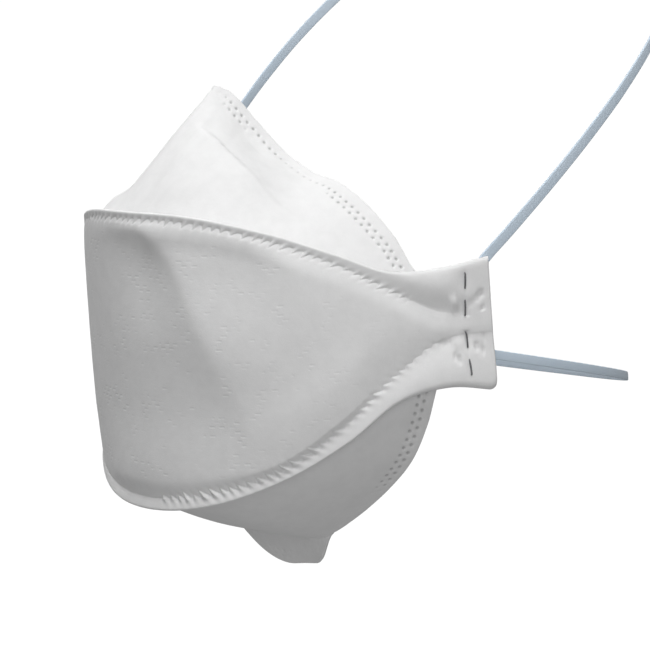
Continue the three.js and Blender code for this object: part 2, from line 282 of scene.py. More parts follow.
def ripple(a, b, seed, size):
    """Gentle unevenness from -1 to 1: the mean of six sine waves in random directions."""
    rng = np.random.default_rng(seed)
    angles, phases = rng.uniform(0, math.tau, 6), rng.uniform(0, math.tau, 6)
    lengths = size * rng.uniform(0.7, 1.6, 6)
    waves = [np.sin((a * math.cos(t) + b * math.sin(t)) * math.tau / w + p)
             for t, w, p in zip(angles, lengths, phases)]
    return np.mean(waves, axis=0)


# ---- mesh building ------------------------------------------------------------------------------

def new_piece(name, points, faces, material, uv=None):
    """Smooth mesh object from points in millimetres and arrays of three- and four-sided faces."""
    corners = np.concatenate([f.ravel() for f in faces]).astype(np.int32)
    sizes = np.concatenate([np.full(len(f), f.shape[1]) for f in faces])
    mesh = bpy.data.meshes.new(name)
    mesh.vertices.add(len(points))
    mesh.vertices.foreach_set("co", (points * MM).astype(np.float32).ravel())
    mesh.loops.add(len(corners))
    mesh.loops.foreach_set("vertex_index", corners)
    mesh.polygons.add(len(sizes))
    mesh.polygons.foreach_set("loop_start", (np.cumsum(sizes) - sizes).astype(np.int32))
    if uv is not None:
        layer = mesh.uv_layers.new(name="cloth")
        layer.uv.foreach_set("vector", (uv[corners] * MM).astype(np.float32).ravel())
    mesh.update(calc_edges=True)
    mesh.validate()
    mesh.shade_smooth()
    mesh.materials.append(material)
    piece = bpy.data.objects.new(name, mesh)
    bpy.context.scene.collection.objects.link(piece)
    return piece


def add_values(piece, name, values):
    """Gives each point of a piece a number that its material can read."""
    layer = piece.data.attributes.new(name, "FLOAT", "POINT")
    layer.data.foreach_set("value", values.astype(np.float32).ravel())


def grid_faces(index):
    """Four-sided faces of a grid of point numbers."""
    return np.stack([index[:-1, :-1], index[1:, :-1], index[1:, 1:], index[:-1, 1:]], -1).reshape(-1, 4)


def rim_faces(fine, coarse):
    """Triangles between a fine row of points and a coarse one: a fan from each coarse point to the
    fine points nearest it, and one triangle between neighbouring fans."""
    steps = np.arange(len(fine) - 1)
    apex = coarse[(steps + COARSE // 2) // COARSE]
    fans = np.stack([fine[:-1], apex, fine[1:]], -1)
    middle = fine[np.arange(len(coarse) - 1) * COARSE + (COARSE + 1) // 2]
    links = np.stack([middle, coarse[:-1], coarse[1:]], -1)
    return np.concatenate([fans, links])


def sheet_faces(columns, rows):
    """Faces of a closed sheet: the outer grid, the coarser inner grid turned round, and four rims."""
    outer = np.arange(columns * rows).reshape(columns, rows)
    inner = outer.size + np.arange(outer[::COARSE, ::COARSE].size).reshape(outer[::COARSE, ::COARSE].shape)
    rims = [rim_faces(outer[:, 0], inner[:, 0]), rim_faces(outer[:, -1], inner[:, -1])[:, ::-1],
            rim_faces(outer[0], inner[0])[:, ::-1], rim_faces(outer[-1], inner[-1])]
    return [grid_faces(outer), grid_faces(inner)[:, ::-1], *rims]


def thick_sheet(name, face, relief, thickness, uv, material, values):
    """Closed cloth sheet. Its outer side is the face moved out by the relief; its inner side lies a
    thickness under the face and is smooth. values are numbers for the material, one for each point."""
    normals = grid_normals(face)
    thin = (slice(None, None, COARSE), slice(None, None, COARSE))
    outer = face + normals * relief[..., None]
    inner = (face - normals * thickness[..., None])[thin]
    points = np.concatenate([outer.reshape(-1, 3), inner.reshape(-1, 3)])
    flat = np.concatenate([uv.reshape(-1, 2), uv[thin].reshape(-1, 2)])
    piece = new_piece(name, points, sheet_faces(*face.shape[:2]), material, flat)
    for key, value in values.items():
        add_values(piece, key, np.concatenate([value.ravel(), value[thin].ravel()]))
    return piece


def edge_thinning(distance, wall):
    """How much of the wall is cut away from each side at a distance from a cut edge: a half round."""
    t = np.clip(distance / EDGE_ROUND, 0, 1)
    return 0.42 * wall * (1 - np.sqrt(1 - (1 - t) ** 2))


def carried_profile(path, across, out, half_width, half_depth):
    """Rings of a closed profile carried along a path: each is the path's point plus the profile's two
    sizes along the across and out directions."""
    return path[:, None] + across[:, None] * half_width[..., None] + out[:, None] * half_depth[..., None]


def tube_faces(rings, sides):
    """Faces between neighbouring rings; the ends are closed by faces that fold each ring flat."""
    index = np.arange(rings * sides).reshape(rings, sides)
    turned = np.roll(index, -1, axis=1)
    wall = np.stack([index[:-1], index[1:], turned[1:], turned[:-1]], -1).reshape(-1, 4)
    i = np.arange(sides // 2 - 1)

    def cap(ring):
        return np.stack([ring[i], ring[i + 1], ring[sides - 2 - i], ring[(sides - 1 - i) % sides]], -1)

    return [wall, cap(index[0]), cap(index[-1])[:, ::-1]]


# ---- materials ----------------------------------------------------------------------------------

class Nodes:
    """Short way to write a material's node tree."""

    def __init__(self, name):
        self.material = bpy.data.materials.new(name)
        self.material.use_nodes = True
        self.tree = self.material.node_tree
        self.shader = self.tree.nodes["Principled BSDF"]

    def add(self, kind, **settings):
        node = self.tree.nodes.new(kind)
        for key, value in settings.items():
            setattr(node, key, value)
        return node

    def link(self, source, target):
        if isinstance(source, bpy.types.NodeSocket):
            self.tree.links.new(source, target)
        else:
            target.default_value = source

    def math(self, operation, *values, clamp=False):
        node = self.add("ShaderNodeMath", operation=operation, use_clamp=clamp)
        for value, socket in zip(values, node.inputs):
            self.link(value, socket)
        return node.outputs[0]

    def noise(self, vector, scale, detail=2.0, roughness=0.5):
        node = self.add("ShaderNodeTexNoise")
        self.link(vector, node.inputs["Vector"])
        for key, value in (("Scale", scale), ("Detail", detail), ("Roughness", roughness)):
            node.inputs[key].default_value = value
        return node.outputs["Fac"]

    def scatter(self, first, second):
        """A number from 0 to 1 that differs for every pair of whole numbers."""
        pair = self.add("ShaderNodeCombineXYZ")
        self.link(first, pair.inputs[0])
        self.link(second, pair.inputs[1])
        node = self.add("ShaderNodeTexWhiteNoise", noise_dimensions="2D")
        self.link(pair.outputs[0], node.inputs["Vector"])
        return node.outputs["Value"]

    def ramp(self, value, low, high, out_low=0.0, out_high=1.0):
        node = self.add("ShaderNodeMapRange", interpolation_type="SMOOTHSTEP", clamp=True)
        for source, socket in zip((value, low, high, out_low, out_high), node.inputs):
            self.link(source, socket)
        return node.outputs[0]

    def mix(self, factor, first, second):
        node = self.add("ShaderNodeMix", data_type="RGBA")
        self.link(factor, node.inputs["Factor"])
        for source, name in ((first, "A_Color"), (second, "B_Color")):
            socket = next(s for s in node.inputs if s.identifier == name)
            self.link(source, socket)
        return next(s for s in node.outputs if s.identifier == "Result_Color")

    def bump(self, height, distance, strength=1.0, below=None):
        node = self.add("ShaderNodeBump")
        node.inputs["Strength"].default_value = strength
        node.inputs["Distance"].default_value = distance
        self.link(height, node.inputs["Height"])
        if below is not None:
            self.link(below, node.inputs["Normal"])
        return node.outputs[0]

    def cloth_uv(self):
        node = self.add("ShaderNodeSeparateXYZ")
        self.link(self.add("ShaderNodeUVMap", uv_map="cloth").outputs[0], node.inputs[0])
        return node.outputs[0], node.outputs[1]

    def object_place(self):
        return self.add("ShaderNodeTexCoord").outputs["Object"]


def web_material(name, colour, pattern):
    """Point-bonded nonwoven: cloudy fibres, a fine felted surface, and a pattern of its own that gives
    (darkening, height) from the cloth's own map."""
    nodes = Nodes(name)
    place = nodes.object_place()
    cloud = nodes.noise(place, 260.0, detail=4.0, roughness=0.6)
    fibre = nodes.noise(place, 2600.0, detail=6.0, roughness=0.7)
    dark, height = pattern(nodes)
    shade = nodes.math("MULTIPLY", nodes.ramp(cloud, 0.3, 0.75), 0.045)
    shade = nodes.math("ADD", shade, nodes.math("MULTIPLY", nodes.ramp(fibre, 0.25, 0.8), 0.03))
    shade = nodes.math("ADD", shade, dark, clamp=True)
    base = nodes.mix(shade, (*colour, 1.0), (0.10, 0.10, 0.105, 1.0))
    nodes.link(base, nodes.shader.inputs["Base Color"])
    low = nodes.bump(cloud, 0.00025, 0.25)
    felt = nodes.bump(fibre, 0.00008, 0.35, below=low)
    nodes.link(nodes.bump(height, 0.0001, 1.0, below=felt), nodes.shader.inputs["Normal"])
    nodes.shader.inputs["Roughness"].default_value = 0.88
    nodes.shader.inputs["Sheen Weight"].default_value = 0.12
    nodes.shader.inputs["Sheen Roughness"].default_value = 0.6
    nodes.shader.inputs["Specular IOR Level"].default_value = 0.25
    return nodes.material


def bond_marks(nodes):
    """Short level dents in staggered rows, 3 mm apart along, rows 1.25 mm apart. They come and go in
    patches and stop short of the welds and tabs."""
    along, up = nodes.cloth_uv()
    rows = nodes.math("DIVIDE", up, 1.25 * MM)
    row = nodes.math("FLOOR", rows)
    shift = nodes.math("MULTIPLY", row, 0.5)
    wobble = nodes.math("MULTIPLY", nodes.math("SINE", nodes.math("MULTIPLY", row, 12.9)), 0.10)
    marks = nodes.math("ADD", nodes.math("DIVIDE", along, 3.0 * MM), nodes.math("ADD", shift, wobble))
    aside = nodes.math("ABSOLUTE", nodes.math("SUBTRACT", nodes.math("FRACT", marks), 0.5))
    above = nodes.math("ABSOLUTE", nodes.math("SUBTRACT", nodes.math("FRACT", rows), 0.5))
    mark = nodes.math("MULTIPLY", nodes.ramp(aside, 0.16, 0.38, 1.0, 0.0),
                      nodes.ramp(above, 0.0, 0.36, 1.0, 0.0))
    patch = nodes.ramp(nodes.noise(nodes.object_place(), 150.0, detail=2.0), 0.50, 0.60, 0.06, 1.0)
    single = nodes.ramp(nodes.scatter(nodes.math("FLOOR", marks), row), 0.25, 0.75, 0.05, 1.0)
    bonded = nodes.add("ShaderNodeAttribute", attribute_name="bonded").outputs["Fac"]
    mark = nodes.math("MULTIPLY", mark, single)
    mark = nodes.math("MULTIPLY", mark, nodes.math("MULTIPLY", patch, bonded))
    return nodes.math("MULTIPLY", mark, 0.010), nodes.math("MULTIPLY", mark, -0.50)


def edge_pores(nodes):
    """Darker dots where the mesh says that a pore is."""
    strength = nodes.add("ShaderNodeAttribute", attribute_name="pore").outputs["Fac"]
    dark = nodes.math("MULTIPLY", nodes.ramp(strength, 0.15, 0.9), 0.42)
    return dark, nodes.math("MULTIPLY", strength, -0.4)


def elastic_material(colour):
    """Flat braid: slanting yarns that zigzag across the band, a little fuzz, and paler worn patches."""
    nodes = Nodes("elastic_braid")
    along, around = nodes.cloth_uv()
    slant = nodes.math("MULTIPLY", nodes.math("PINGPONG", around, 0.45 * MM), 1.1)
    turns = nodes.math("MULTIPLY", nodes.math("ADD", along, slant), math.tau / (0.7 * MM))
    yarn = nodes.math("SINE", turns)
    yarn = nodes.math("MULTIPLY_ADD", yarn, 0.5, 0.5)
    fuzz = nodes.noise(nodes.object_place(), 2200.0, detail=4.0)
    wear = nodes.noise(nodes.object_place(), 120.0, detail=2.0)
    deep = tuple(c * 0.76 for c in colour)
    base = nodes.mix(nodes.ramp(yarn, 0.0, 0.8, 0.10, 0.0), (*colour, 1.0), (*deep, 1.0))
    base = nodes.mix(nodes.ramp(wear, 0.35, 0.75, 0.0, 0.15), base, (0.80, 0.86, 0.96, 1.0))
    nodes.link(base, nodes.shader.inputs["Base Color"])
    weave = nodes.bump(yarn, 0.00002, 0.3)
    nodes.link(nodes.bump(fuzz, 0.00001, 0.3, below=weave), nodes.shader.inputs["Normal"])
    nodes.shader.inputs["Roughness"].default_value = 0.7
    nodes.shader.inputs["Sheen Weight"].default_value = 0.15
    return nodes.material


def steel_material(colour):
    """Staple wire: dull steel with a fine grain and small darker spots. Its colour is partly dull steel and
    partly painted shade of the cloth groove that the staples sit in.
    """
    nodes = Nodes("staple_steel")
    place = nodes.object_place()
    spots = nodes.noise(place, 1800.0, detail=3.0)
    nodes.link(nodes.mix(nodes.ramp(spots, 0.45, 0.7), (*colour, 1.0), (0.18, 0.18, 0.19, 1.0)),
               nodes.shader.inputs["Base Color"])
    nodes.link(nodes.ramp(spots, 0.3, 0.7, 0.32, 0.55), nodes.shader.inputs["Roughness"])
    nodes.link(nodes.bump(nodes.noise(place, 5200.0), 0.00003, 0.5), nodes.shader.inputs["Normal"])
    nodes.shader.inputs["Metallic"].default_value = 1.0
    return nodes.material


# ---- front panel --------------------------------------------------------------------------------

def front_lines(along):
    """Heights of the front panel's top edge, welds and bottom edge, the last with its corner rounded
    as a quarter circle."""
    top, top_weld, bottom_weld, bottom = (station(FRONT, c, along) for c in
                                          (TOP, TOP_WELD, BOTTOM_WELD, BOTTOM))
    past = np.clip(np.abs(along) - (TAB_END - CORNER), 0, CORNER * 0.999)
    return top, top_weld, bottom_weld, bottom + CORNER - np.sqrt(CORNER ** 2 - past ** 2)


def front_heights(along):
    """Heights of the grid's rows at each station: rims and weld bands are fine, and from them the rows
    spread out into the middle as a mix of even steps and cosine steps."""
    top, top_weld, bottom_weld, bottom = front_lines(along)
    band = np.minimum(WELD_BAND, 0.42 * (top_weld - bottom_weld))
    knots = [bottom, bottom_weld, bottom_weld + band, top_weld - band, top_weld, top]
    bands = []
    for k, count in enumerate(ROWS):
        low, high = knots[k], knots[k + 1]
        t = np.arange(count) / count
        if k == MIDDLE:
            t = 0.3 * t + 0.35 * (1 - np.cos(math.pi * t))
        bands.append(low[:, None] + (high - low)[:, None] * t)
    return np.concatenate([*bands, top[:, None]], axis=1)


def weld_relief(form, across, place, width, strength, settings):
    """Height of the cloth at a distance inwards across a weld, negative on the rim. The valley's floor
    zigzags: slanting teeth of the rim's cloth reach into the panel, so s = across less the tooth's length
    there, and a tooth is a triangle wave of the place along the weld. The cloth climbs out of the valley
    as 1 - e^-(s/reach) on both sides. Near the tabs the rim is wide and puffs up as a quarter sine, which
    is raised to a power where the rim is widest, and turns in again past its crest."""
    pitch = settings.tooth_pitch / MM
    lean = form["lean"] + form["more_lean"] * smoothstep(np.abs(place), 25.0, 80.0)
    phase = (place + lean * across) / pitch + ZIGZAG["wobble"] * np.sin(place / ZIGZAG["wobble_length"])
    uneven = np.random.default_rng(7).uniform(0.50, 1.15, TEETH)[np.floor(phase).astype(int) % TEETH]
    wave = np.clip(1 - np.abs(2 * (phase - np.floor(phase)) - 1) / form["spread"], 0, 1)
    strength = strength * uneven
    fade = np.exp(np.minimum(across, 0) / ZIGZAG["rim_fade"])
    fade = fade * np.exp(-np.maximum(across - form["tooth"], 0) / ZIGZAG["tip_fade"])
    s = across - form["tooth"] * wave * strength * fade
    depth = form["depth"] * (1 - 0.5 * np.clip(across / form["tooth"], 0, 1))
    body = -depth * np.exp(-np.maximum(s, 0) / form["reach"])
    narrow = form["rim_rise"] * (1 - np.exp(np.minimum(s, 0) / form["rim_reach"]))
    t = np.clip(-s / width, 0, 1)
    past = np.clip((t - form["crest"]) / (1 - form["crest"]), 0, 1)
    climb = np.sin(np.minimum(t / form["crest"], 1.0) * math.pi / 2)
    climb = climb ** (1 + 0.7 * smoothstep(width, 9.0, 14.0))
    puff = form["puff"] * settings.rim_puff / MM * (1 + 0.5 * smoothstep(width, 4.0, 11.0))
    puff = puff * (climb - form["turn_in"] * past ** 2)
    wide = smoothstep(width, 3.4, 6.5)
    rim = -depth + narrow + (puff - narrow) * wide
    return np.where(s > 0, body, rim) - settings.groove_depth / MM * bump(s, 0.35) * depth / form["depth"]


def body_relief(along, z, top_weld, bottom_weld):
    """Broad form between the welds, as a sum. A long slanting fold is e to the minus run over reach on
    each side of its crest, and falls off more slowly beyond it. A hollow drops steeply under the nose
    weld beside the fold, and a faint fold lies on the wearer's right. A swelling that is 1 - e^-(below /
    reach) starts under the nose weld towards the tabs. A roll turns in steeply above the chin weld."""
    side, below, above = np.abs(along), top_weld - z, z - bottom_weld
    crest = FOLD["crest"] + (FOLD["crest_z"] - z) * FOLD["slant"]
    crest = crest - FOLD["top_bend"] * smoothstep(z, 27.0, 36.0)
    from_fold = (along - crest) * FOLD["square"]
    run = np.sqrt(from_fold ** 2 + FOLD["round"] ** 2) - FOLD["round"]
    fold = FOLD["height"] * np.exp(-run / np.where(from_fold < 0, FOLD["near_reach"], FOLD["far_reach"]))
    fold = fold * smoothstep(z, -34.0, 16.0) * smoothstep(below, 0.0, 6.0)
    drop = smoothstep(below, 1.0, 7.0) * (1 - smoothstep(below, 8.0, 36.0))
    beyond = smoothstep(along, -4.0, 8.0) * (1 - smoothstep(along, 36.0, 54.0))
    centre = HOLLOW["centre"] * bump(along - HOLLOW["centre_at"], HOLLOW["centre_width"])
    hollow = drop * (centre + HOLLOW["beyond"] * beyond)
    far_fold = FAR_FOLD["height"] * bump(along - FAR_FOLD["at"], FAR_FOLD["width"])
    far_fold = far_fold * bump(z - FAR_FOLD["z"], FAR_FOLD["tall"])
    reach = SWELL["reach"] + SWELL["more_reach"] * smoothstep(side, 25.0, 60.0)
    swell = SWELL["slope"] * reach * (1 - np.exp(-np.maximum(below, 0) / reach))
    swell = swell * smoothstep(side, 26.0, 44.0) * (1 - smoothstep(side, 84.0, 94.0))
    outer = smoothstep(side, 22.0, 42.0)
    rise = ROLL["rise"] - ROLL["less_rise"] * outer
    roll = smoothstep(above, 0.0, rise) * (1 - smoothstep(above, rise, ROLL["reach"]))
    roll = roll * (ROLL["height"] + ROLL["more_height"] * outer)
    roll = roll * (1 - smoothstep(side, 58.0, 74.0))
    roll = roll * (1 - smoothstep(along, -60.0, -50.0) * (1 - smoothstep(along, -26.0, -8.0)))
    inside = smoothstep(above, 0.0, 16.0) * smoothstep(below, -0.5, 1.0)
    return fold + far_fold - hollow + swell * inside + roll


def tab_relief(side, z):
    """Short bars pressed into or standing out of the tab, and the staples' own dents."""
    relief = np.zeros_like(z)
    for at, height, length, tilt, width, depth in EMBOSSED:
        c, s = math.cos(math.radians(tilt)), math.sin(math.radians(tilt))
        lengthwise = np.abs((side - at) * c + (z - height) * s)
        sideways = (z - height) * c - (side - at) * s
        inside = 1 - smoothstep(lengthwise, length / 2 - 0.6, length / 2 + 0.5)
        relief -= depth * bump(sideways, width) * inside
    for at, height in (CROWN["staple"], NECK["staple"]):
        line = bump(side - at, 0.9) * (1 - smoothstep(np.abs(z - height), 5.6, 6.6))
        relief -= 0.30 * line
        relief += 0.25 * bump(side - at, 2.6) * bump(z - height, 1.8)
    return relief


def front_relief(along, z, settings):
    """Outward height of all the front panel's detail over its smooth face."""
    side = np.abs(along)
    line = along[:, 0]
    top, top_weld, bottom_weld, bottom = (w[:, None] for w in front_lines(line))
    relief = body_relief(along, z, top_weld, bottom_weld) + tab_relief(side, z)
    inside = smoothstep(top_weld - z, 1.0, 8.0) * smoothstep(z - bottom_weld, 1.0, 8.0)
    relief += 0.18 * ripple(along, z, 4, 34.0) * inside + 0.035 * ripple(along, z, 9, 7.0)
    upper_teeth = 1 - smoothstep(side, 78.0, 84.0)
    lower_teeth = 1 - 0.45 * smoothstep(side, 50.0, 74.0) - 0.55 * smoothstep(side, 84.0, 91.0)
    plain = smoothstep(along, -56.0, -48.0) * (1 - smoothstep(along, 3.0, 9.0))
    lower_teeth = lower_teeth * (1 - plain)
    for weld, edge, sign, form, teeth in ((top_weld, top, 1, UPPER_WELD, upper_teeth),
                                          (bottom_weld, bottom, -1, LOWER_WELD, lower_teeth)):
        slope = np.gradient(weld[:, 0], line)[:, None]
        lean = np.sqrt(1 + slope ** 2)
        length = np.concatenate([[0.0], np.cumsum(np.hypot(np.diff(line), np.diff(weld[:, 0])))])
        place = (length - length[len(length) // 2])[:, None] + (z - weld) * slope / lean
        across = sign * (weld - z) / lean
        height = weld_relief(form, across, place, np.abs(edge - weld) / lean, teeth, settings)
        if sign < 0:
            height = height * (1 - 0.45 * smoothstep(-along, 14.0, 40.0))
        relief += height * (1 - smoothstep(side, *form["end"]))
        valley = bump(across, 3.4) * smoothstep(side, 66.0, 88.0) * (1 - smoothstep(side, 94.0, 100.0))
        relief -= form["valley"] * valley
    return relief


def make_front_panel(settings):
    """The panel's face is the plan curve stood up: a point for each distance along the cloth and each
    height. Its relief is added square to it, and its wall thins along its cut edges."""
    line = np.linspace(-TAB_END, TAB_END, COLUMNS)
    z = front_heights(line)
    along = np.repeat(line[:, None], z.shape[1], axis=1)
    face = on_front(along, 0.0, z)
    to_rim = np.minimum(z - z[:, :1], z[:, -1:] - z)
    to_end = TAB_END - np.abs(along)
    wall = settings.wall / MM
    to_edge = np.minimum(to_rim, to_end)
    thin = edge_thinning(to_edge, wall)
    relief = front_relief(along, z, settings) - 0.6 * thin
    least = 0.25 + 0.25 * smoothstep(to_edge, 0.0, 1.0)
    thickness = np.clip(np.maximum(wall - thin, least - relief), 0.0, 2.0)
    _, top_weld, bottom_weld, _ = (w[:, None] for w in front_lines(line))
    bonded = smoothstep(np.minimum(top_weld - z, z - bottom_weld), 3.0, 6.0)
    bonded = bonded * (1 - 0.6 * smoothstep(np.abs(along), 55.0, 75.0))
    web = web_material("cover_web", settings.cloth_colour, bond_marks)
    uv = np.stack([along, z], -1)
    return thick_sheet("front_web", face, relief, thickness, uv, web, {"bonded": bonded})


# ---- nose and chin panels -----------------------------------------------------------------------

def ruled_rows(start, edge, extra=0.0, direction=None, counts=(36, 55), band=8.0):
    """Grid of points from a weld to a free edge along straight lines, with finer rows in a band along
    the edge. Past the edge it goes on by extra in a direction, as the pull tab does. Also gives each
    point's distance from the weld over the panel's depth, and its distance from the cut edge."""
    depth = np.linalg.norm(edge - start, axis=-1)
    total = depth + extra
    fine = np.minimum(band, 0.6 * total)
    coarse_part = (total - fine)[:, None] * (np.arange(counts[0]) / counts[0])
    t = np.linspace(0, 1, counts[1] - 1)
    fine_part = (total - fine)[:, None] + fine[:, None] * (1 - (1 - t) ** 1.25)
    run = np.concatenate([coarse_part, fine_part], axis=1)
    on_panel = np.minimum(run / depth[:, None], 1.0)
    points = start[:, None] + (edge - start)[:, None] * on_panel[..., None]
    if direction is not None:
        points = points + np.maximum(run - depth[:, None], 0)[..., None] * direction
    return points, on_panel, total[:, None] - run


def edge_length(edge):
    """Distance along the free edge from the centre, signed."""
    length = running_length(edge)
    return length - length[len(length) // 2]


def edge_frame(edge, start, length, run_back):
    """Place along the free edge and distance square to it, for points that lie back from it along
    slanting lines: the slant is the share of a line that runs along the edge."""
    slant = np.sum(unit(np.gradient(edge, axis=0)) * unit(start - edge), axis=-1)[:, None]
    return length + run_back * slant, run_back * np.sqrt(1 - slant ** 2)


def pores(place, depth, pitch, line, rows, size):
    """Strength of two staggered rows of round pores along a cut edge. line gives the outer row's
    distance from the edge; rows gives, for each row, its number and how strong it is."""
    outer = np.interp(np.abs(place), line[:, 0], line[:, 1])
    strength = np.zeros(place.shape)
    for number, present in rows:
        turn = place / pitch + 0.5 * number
        aside = (turn - np.round(turn)) * pitch
        away = np.hypot(aside, depth - outer - number * PORE_ROW_GAP)
        strength = np.maximum(strength, present * bump(away, size))
    return strength


def nose_fold(along, up):
    """Height of the fold beside the nose over a straight line from weld to edge: it swells as a quarter
    sine up to a slanting crease, steps down there, and falls less and less steeply to the edge. A
    dent lies beside the bridge, and a low ridge near the weld on the wearer's right."""
    side = np.abs(along)
    crease = NOSE_CREASE["up"] - NOSE_CREASE["slant"] * np.minimum(side, NOSE_CREASE["slant_end"])
    behind = up - crease
    past = np.clip(behind / (1 - crease), 0, 1)
    share = NOSE_CREASE["right_share"] + (1 - NOSE_CREASE["right_share"]) * smoothstep(along, -2.0, 13.0)
    swell = NOSE_CREASE["swell"] * share * (1 - smoothstep(side, 26.0, 48.0))
    swell = swell * np.sin(np.minimum(up / crease, 1.0) * math.pi / 2) * (1 - past) ** NOSE_CREASE["fall"]
    extra = bump(along - NOSE_CREASE["extra_at"], NOSE_CREASE["extra_width"])
    swell = swell * (1 + NOSE_CREASE["extra"] * extra)
    step = NOSE_CREASE["step"] * smoothstep(side, 3.5, 8.0) * (1 - 0.8 * smoothstep(side, 16.0, 32.0))
    step = step * (1 - smoothstep(side, 40.0, 56.0)) * smoothstep(behind, -0.006, 0.02) * (1 - past)
    dent = NOSE_CREASE["dent"] * bump(side - NOSE_CREASE["dent_at"], 7.0) * bump(past - 0.6, 0.26)
    dent = dent * np.clip((1 - past) / 0.4, 0, 1)
    off_centre = smoothstep(side, 0.0, 6.0)
    belly = NOSE_BELLY * np.sin(math.pi * up ** 0.75) * (1 - smoothstep(side, 8.0, 34.0))
    ridge = NOSE_RIDGE["height"] * bump(along - NOSE_RIDGE["at"], NOSE_RIDGE["width"])
    ridge = ridge * bump(up - 0.15, 0.08) * smoothstep(up, 0.0, 0.06)
    return belly + off_centre * (swell - step - dent) + ridge


def make_nose_panel(settings):
    """The panel is ruled in straight lines from the upper weld to the free edge, and the fold beside the
    nose is added square to it."""
    line = np.linspace(-PANEL_END, PANEL_END, COLUMNS)
    start = on_front(line, SEAT_INSET, station(FRONT, TOP_WELD, line))
    edge = on_edge(NOSE_EDGE, line)
    flat, up, from_edge = ruled_rows(start, edge)
    face = flat + grid_normals(flat) * nose_fold(line[:, None], up)[..., None]
    place, depth = edge_frame(edge, start, edge_length(edge)[:, None], from_edge)
    reach = np.abs(place)
    inner_row = np.maximum(bump(reach - 11.0, 5.5), smoothstep(reach, 48, 52))
    inner_row = inner_row * (1 - smoothstep(reach, 82, 88))
    outer_row = 0.55 + 0.45 * np.maximum(smoothstep(reach, 42, 52), 1 - smoothstep(reach, 26, 32))
    outer_row = outer_row * (0.35 + 0.65 * smoothstep(reach, 2.0, 9.0))
    rows = [(0, outer_row), (1, inner_row)]
    pore = pores(place, depth, settings.pore_pitch / MM, NOSE_PORES, rows, NOSE_PORE_SIZE)
    return make_side_panel("nose_web", "nose_cover_web", face, place, from_edge, pore, settings, 21)


def pull_tab_length(line):
    """Cloth that the pull tab adds past the free edge: level in the middle, a little longer on the
    wearer's right, and a smooth step down to nothing at each side."""
    aside = line - PULL_TAB["centre"]
    end = np.where(aside < 0, *PULL_TAB["end"])
    base = np.where(aside < 0, *PULL_TAB["base"])
    return PULL_TAB["length"] * (1 - PULL_TAB["skew"] * aside) * (1 - smoothstep(np.abs(aside), end, base))


def make_chin_panel(settings):
    """The panel is ruled in straight lines from the lower weld to the free edge, and on past it where the
    pull tab hangs. It bellies out as a half sine, in proportion to its depth."""
    line = np.linspace(PANEL_END, -PANEL_END, COLUMNS)
    start = on_front(line, SEAT_INSET, station(FRONT, BOTTOM_WELD, line))
    edge = on_edge(CHIN_EDGE, line)
    edge[:, 2] += CHIN_SKEW * edge[:, 0] * (1 - smoothstep(np.abs(line), 40.0, 80.0))
    tab = pull_tab_length(line)
    hang = np.array([0.0, math.sin(PULL_TAB["lean"]), -math.cos(PULL_TAB["lean"])])
    flat, up, from_edge = ruled_rows(start, edge, tab, hang)
    depth = np.linalg.norm(edge - start, axis=-1)[:, None]
    belly = CHIN_BELLY * depth / CHIN_DEPTH * np.sin(math.pi * up)
    face = flat + grid_normals(flat) * belly[..., None]
    place, across = edge_frame(edge, start, edge_length(edge)[:, None], from_edge)
    reach = np.abs(place)
    present = (0.15 + 0.85 * smoothstep(reach, 44, 56)) * (1 - smoothstep(reach, 88, 92))
    present = present + 0.25 * bump(place - 9.0, 5.0)
    rows = [(0, present), (1, present)]
    pore = pores(place, across, CHIN_PORE_PITCH, CHIN_PORES, rows, CHIN_PORE_SIZE)
    return make_side_panel("chin_web", "chin_cover_web", face, place, from_edge, pore, settings, 33)


def make_side_panel(name, web_name, face, place, from_edge, pore, settings, seed):
    """Thick sheet of a nose or chin panel, with its pores pressed in and its cut edge rounded."""
    wall = settings.wall / MM
    thin = edge_thinning(from_edge, wall)
    pressed = 0.12 * (1 - smoothstep(from_edge, 5.5, 9.0)) * smoothstep(from_edge, 0.0, 1.0)
    relief = (0.10 * ripple(place, from_edge, seed, 15.0) + 0.03 * ripple(place, from_edge, seed + 1, 4.0)
              - 0.40 * pore - pressed - thin)
    web = web_material(web_name, settings.cloth_colour, edge_pores)
    return thick_sheet(name, face, relief, wall - thin - pressed, np.stack([place, from_edge], -1), web,
                       {"pore": pore})


# ---- straps and staples -------------------------------------------------------------------------

def smooth_path(points, count):
    """Evenly spaced points on a cubic through the given points, spaced by the square root of their
    distances, with the slope at each taken from its neighbours."""
    gaps = np.linalg.norm(np.diff(points, axis=0), axis=1)
    at = np.concatenate([[0.0], np.cumsum(np.sqrt(gaps))])
    slopes = np.gradient(points, at, axis=0)
    fine = np.linspace(0, at[-1], count * 6)
    i = np.clip(np.searchsorted(at, fine, side="right") - 1, 0, len(at) - 2)
    run = (at[i + 1] - at[i])[:, None]
    curve = cubic(points, slopes, i, (fine - at[i])[:, None] / run, run)
    length = running_length(curve)
    even = np.linspace(0, length[-1], count)
    return np.stack([np.interp(even, length, curve[:, k]) for k in range(3)], -1), even


def half_loop(loop):
    """Outer middle line of half a strap: behind the tab, then in a tilted plane along a quarter sine
    out to its widest place, then round a quarter ellipse to the back of the head."""
    behind = np.array([on_front(along, STRAP_INSET, z) for along, z in loop["tab"]])
    leave = behind[-1]
    back = np.array([0.0, math.cos(loop["rise"]), math.sin(loop["rise"])])
    t = np.linspace(0, 1, 7)[1:]
    turn = np.linspace(0, math.pi / 2, 10)[1:]
    x = np.concatenate([leave[0] + (loop["widest"] - leave[0]) * np.sin(t * math.pi / 2),
                        loop["widest"] * np.cos(turn)])
    run = np.concatenate([loop["widest_at"] * t,
                          loop["widest_at"] + (loop["reach"] - loop["widest_at"]) * np.sin(turn)])
    flat = np.stack([x, np.full_like(x, leave[1]), np.full_like(x, leave[2])], -1)
    return np.concatenate([behind, flat + run[:, None] * back])


